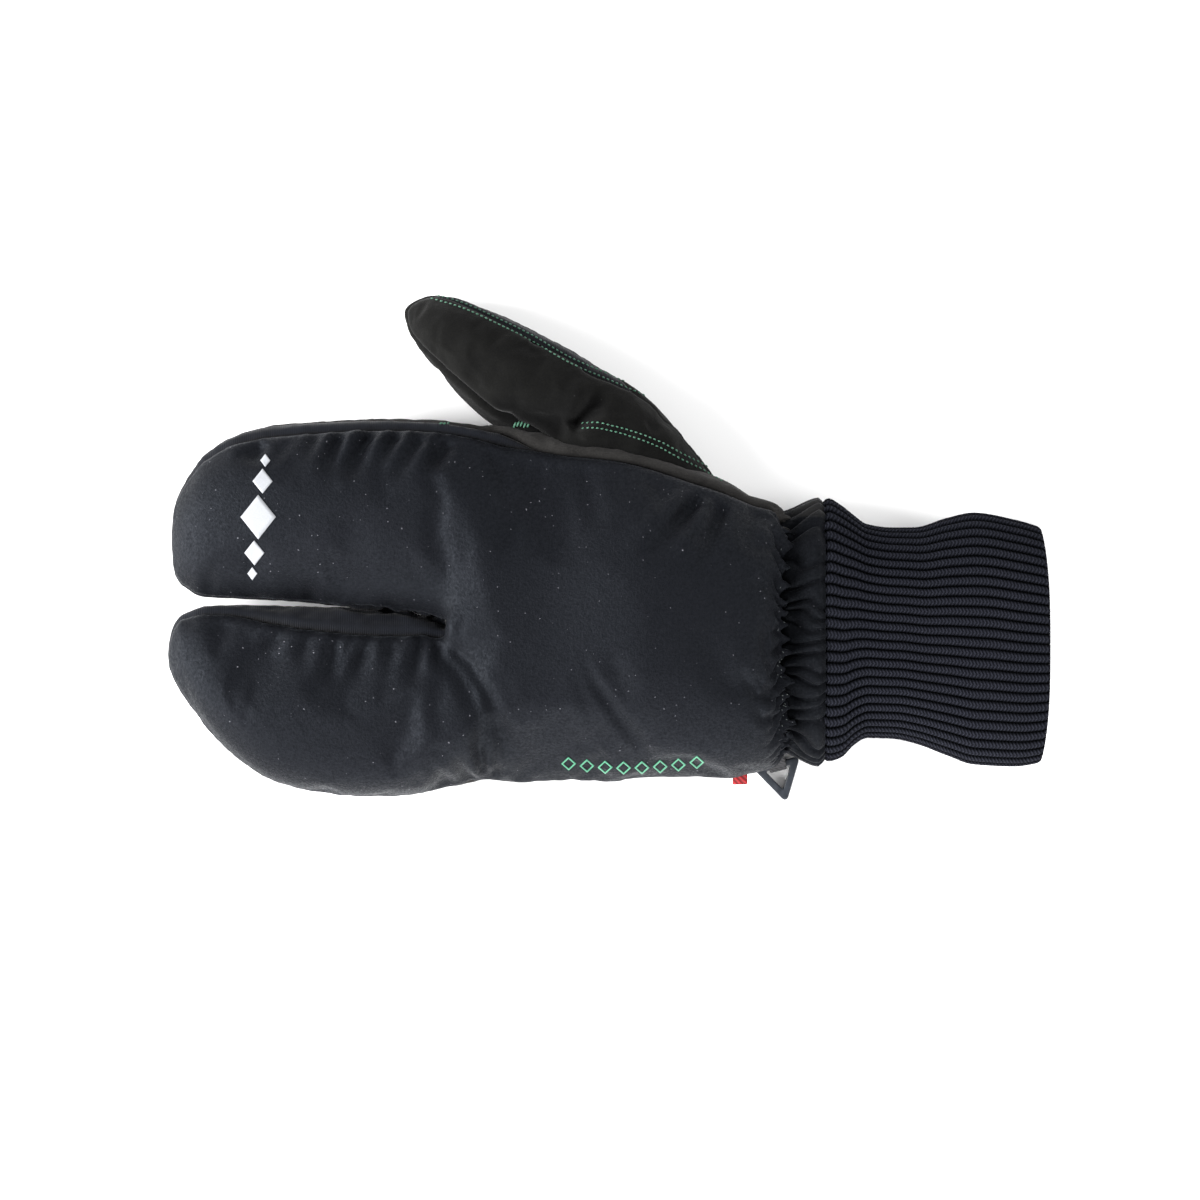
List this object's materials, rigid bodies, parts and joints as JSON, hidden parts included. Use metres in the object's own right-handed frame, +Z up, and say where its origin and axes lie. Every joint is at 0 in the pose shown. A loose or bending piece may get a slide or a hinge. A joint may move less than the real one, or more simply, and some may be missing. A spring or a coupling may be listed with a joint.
{
  "type": "lobster claw mitt",
  "caption": "Insulated left-hand mitt with a split finger pocket and a thumb, a gathered wrist, a ribbed knit cuff and a hanging ring.",
  "frame": {"origin": "on the flat of the palm that the mitt lies on, under the middle of the hand", "axes": "+X from the fingers to the cuff, +Y towards the thumb, +Z up through the back of the hand"},
  "size_m": [0.3, 0.1732, 0.048],
  "materials": {
    "softshell": "matt woven softshell",
    "suede": "napped synthetic suede",
    "stretch_cloth": "matt stretch cloth",
    "knit": "ribbed knit",
    "plastic": "satin moulded plastic",
    "webbing": "woven tape",
    "label": "woven label"
  },
  "bodies": {
    "root": {"back_panel": "softshell", "palm_panel": "suede", "finger_gusset": "stretch_cloth", "thumb_back": "suede", "thumb_strip": "stretch_cloth", "thumb_palm": "suede", "wrist_gather": "softshell", "knit_cuff": "knit", "triangle_ring": "plastic", "ring_loop": "webbing", "label_tab": "label"}
  },
  "joints": []
}
